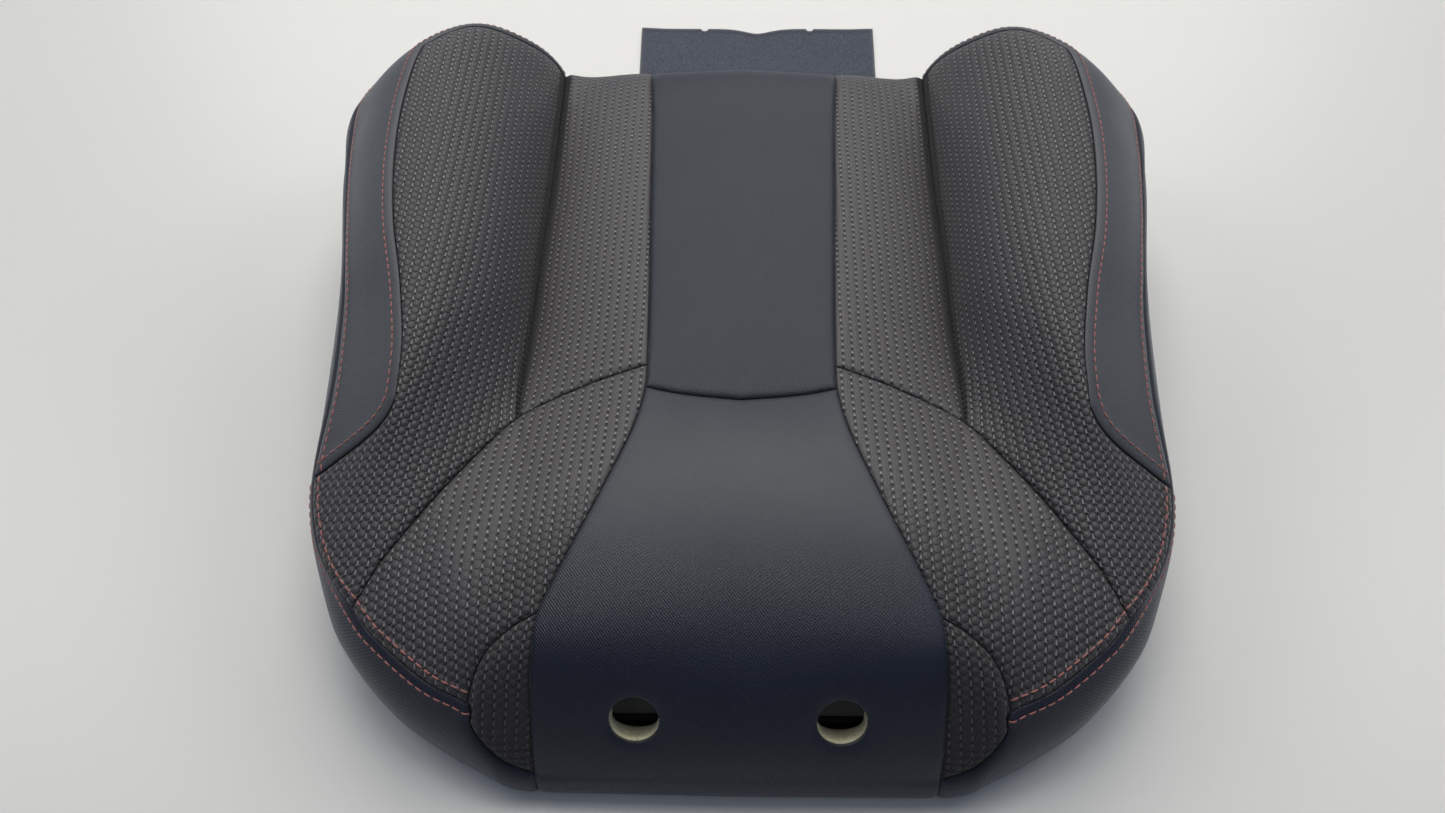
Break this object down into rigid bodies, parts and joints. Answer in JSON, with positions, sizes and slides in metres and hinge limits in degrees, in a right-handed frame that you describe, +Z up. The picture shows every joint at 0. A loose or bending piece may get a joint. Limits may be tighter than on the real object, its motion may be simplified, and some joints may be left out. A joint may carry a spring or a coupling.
{
  "type": "seat backrest pad",
  "caption": "Moulded foam backrest pad with raised side bolsters in a sewn trim cover, open at the back, with two headrest passages and a felt tuck flap.",
  "frame": {"origin": "on the surface the pad lies on, under the middle of its bounding box, tuck flap included", "axes": "+X across the pad to the sitter's left side as seen from the headrest end, +Y along the pad from the headrest end to the lumbar end and its flap, +Z up out of the seating face"},
  "size_m": [0.631, 0.7936, 0.1678],
  "materials": {
    "foam": "soft open-cell moulded foam",
    "plain_cloth": "fine plain twill",
    "dotted_cloth": "textured knit with rows of small light dots",
    "sleeve_cloth": "non-woven",
    "steel_wire": "drawn wire",
    "strip_plastic": "extruded",
    "felt": "needle felt",
    "stitch_thread": "twisted coral sewing thread"
  },
  "bodies": {
    "pad": {"foam_bun": "foam", "centre_lumbar_panel": "plain_cloth", "centre_main_panel": "plain_cloth", "insert_lumbar_left": "dotted_cloth", "insert_lumbar_right": "dotted_cloth", "insert_shoulder_left": "dotted_cloth", "insert_shoulder_right": "dotted_cloth", "bolster_inner_left": "dotted_cloth", "bolster_inner_right": "dotted_cloth", "bolster_outer_left": "plain_cloth", "bolster_outer_right": "plain_cloth", "corner_panel_left": "dotted_cloth", "corner_panel_right": "dotted_cloth", "side_gusset_left": "plain_cloth", "side_gusset_right": "plain_cloth", "long_sleeve_left": "sleeve_cloth", "long_sleeve_right": "sleeve_cloth", "trench_sleeve_left": "sleeve_cloth", "trench_sleeve_right": "sleeve_cloth", "shoulder_sleeve_left": "sleeve_cloth", "shoulder_sleeve_right": "sleeve_cloth", "cross_sleeve": "sleeve_cloth", "long_cover_wire_left": "steel_wire", "long_cover_wire_right": "steel_wire", "long_foam_wire_left": "steel_wire", "long_foam_wire_right": "steel_wire", "trench_cover_wire_left": "steel_wire", "trench_cover_wire_right": "steel_wire", "trench_foam_wire_left": "steel_wire", "trench_foam_wire_right": "steel_wire", "shoulder_cover_wire_left": "steel_wire", "shoulder_cover_wire_right": "steel_wire", "shoulder_foam_wire_left": "steel_wire", "shoulder_foam_wire_right": "steel_wire", "cross_cover_wire": "steel_wire", "cross_foam_wire": "steel_wire", "hog_rings_left": "steel_wire", "hog_rings_right": "steel_wire", "hog_rings_cross": "steel_wire", "retainer_strip_left": "strip_plastic", "retainer_strip_right": "strip_plastic", "retainer_strip_top": "strip_plastic", "retainer_strip_bottom": "strip_plastic"},
    "flap": {"tuck_flap": "felt"}
  },
  "joints": [
    {"name": "flap_fold", "type": "hinge", "parent": "pad", "child": "flap", "pos_m": [0.014, 0.21281, 0.0014], "axis": [1, 0, 0], "range_deg": [-110, 70]}
  ]
}
